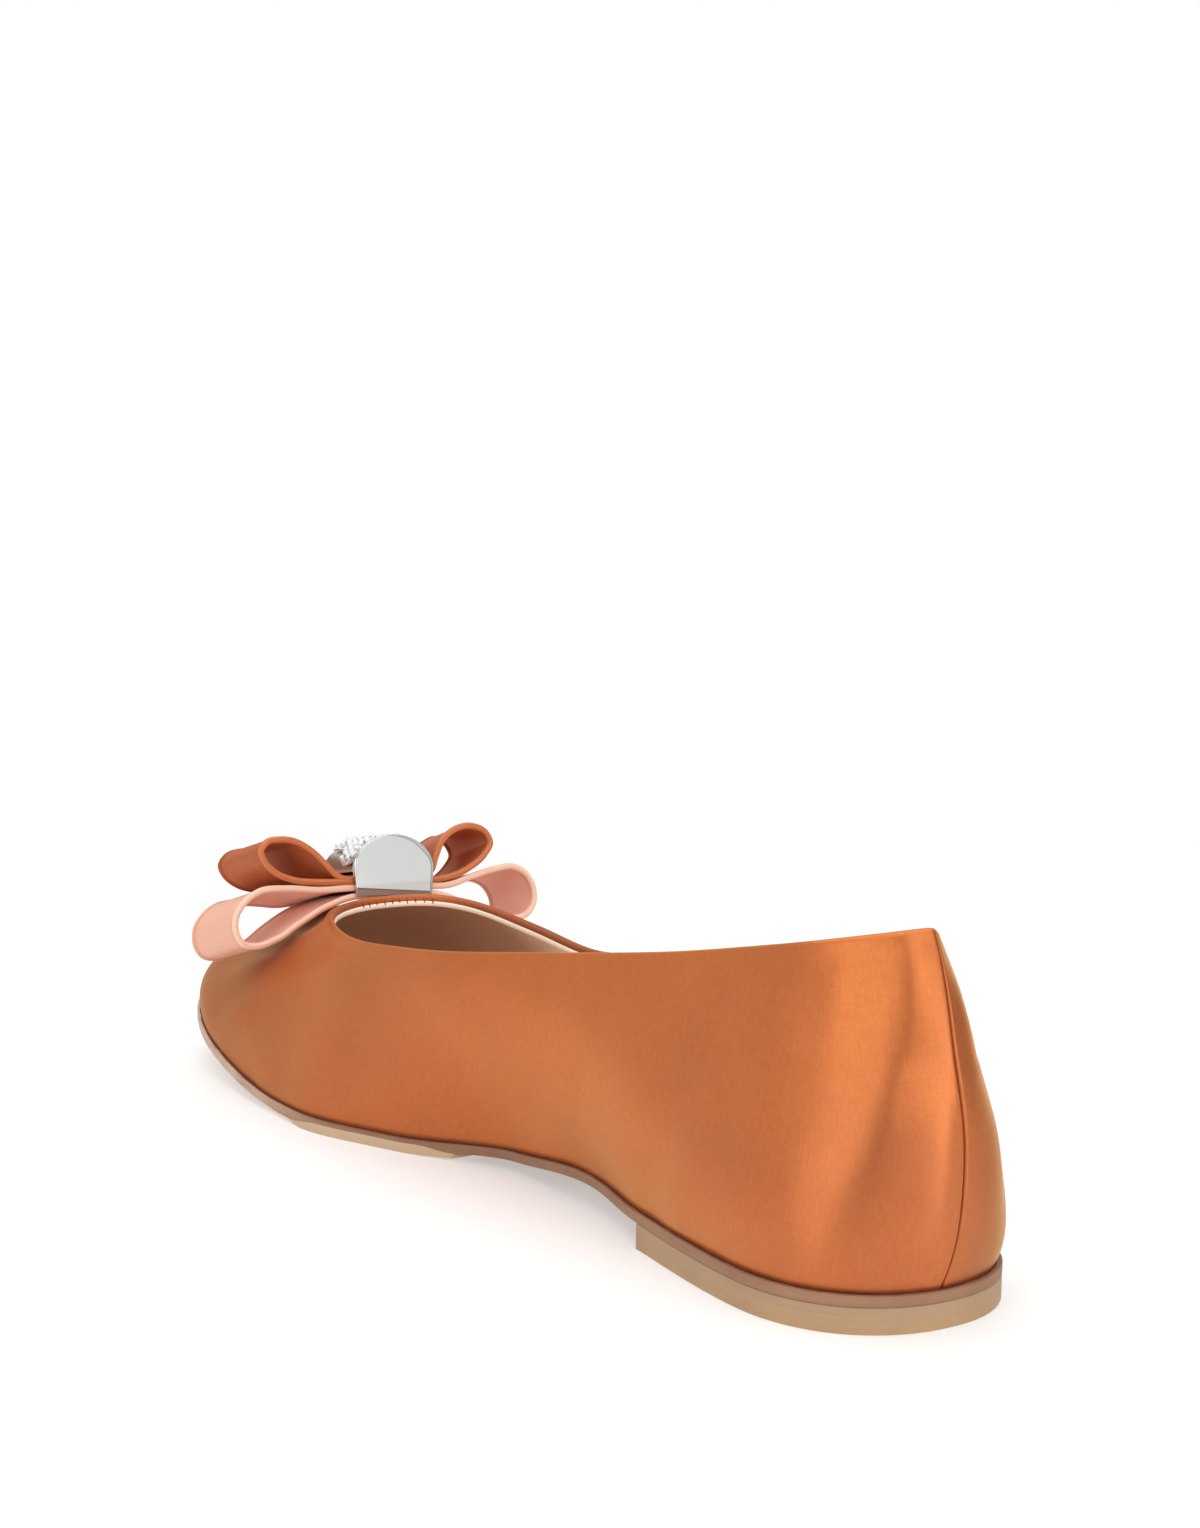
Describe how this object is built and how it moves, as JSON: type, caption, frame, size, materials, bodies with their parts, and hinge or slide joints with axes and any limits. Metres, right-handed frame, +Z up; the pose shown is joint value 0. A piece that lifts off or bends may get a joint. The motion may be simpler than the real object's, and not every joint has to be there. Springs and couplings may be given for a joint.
{
  "type": "ballet flat",
  "caption": "Low satin flat shoe with a round toe, open topline, thin sole, low heel block and a looped ribbon bow held by a metal clasp on the vamp.",
  "frame": {"origin": "middle of the shoe's bounding box, on the floor that it stands on", "axes": "+X from the heel to the toe, +Y to the wearer's left, which is the inner side of this right shoe, +Z up from the floor"},
  "size_m": [0.257, 0.0818, 0.0674],
  "materials": {
    "satin": "burnt orange satin with a soft sheen",
    "lining": "smooth nude lining leather",
    "sole": "smooth tan edge",
    "heel": "satin khaki stacked heel",
    "tread": "matte cream rubber",
    "dark_ribbon": "burnt orange satin ribbon",
    "light_ribbon": "salmon pink satin ribbon",
    "clasp": "polished silver metal",
    "cap": "bright studded silver metal"
  },
  "bodies": {
    "root": {"upper": "satin", "insole": "lining", "outsole": "sole", "heel": "heel", "forefoot_pad": "tread", "bow_upper_ribbon": "dark_ribbon", "bow_lower_ribbon": "light_ribbon", "bow_clasp": "clasp", "clasp_cap": "cap"}
  },
  "joints": []
}
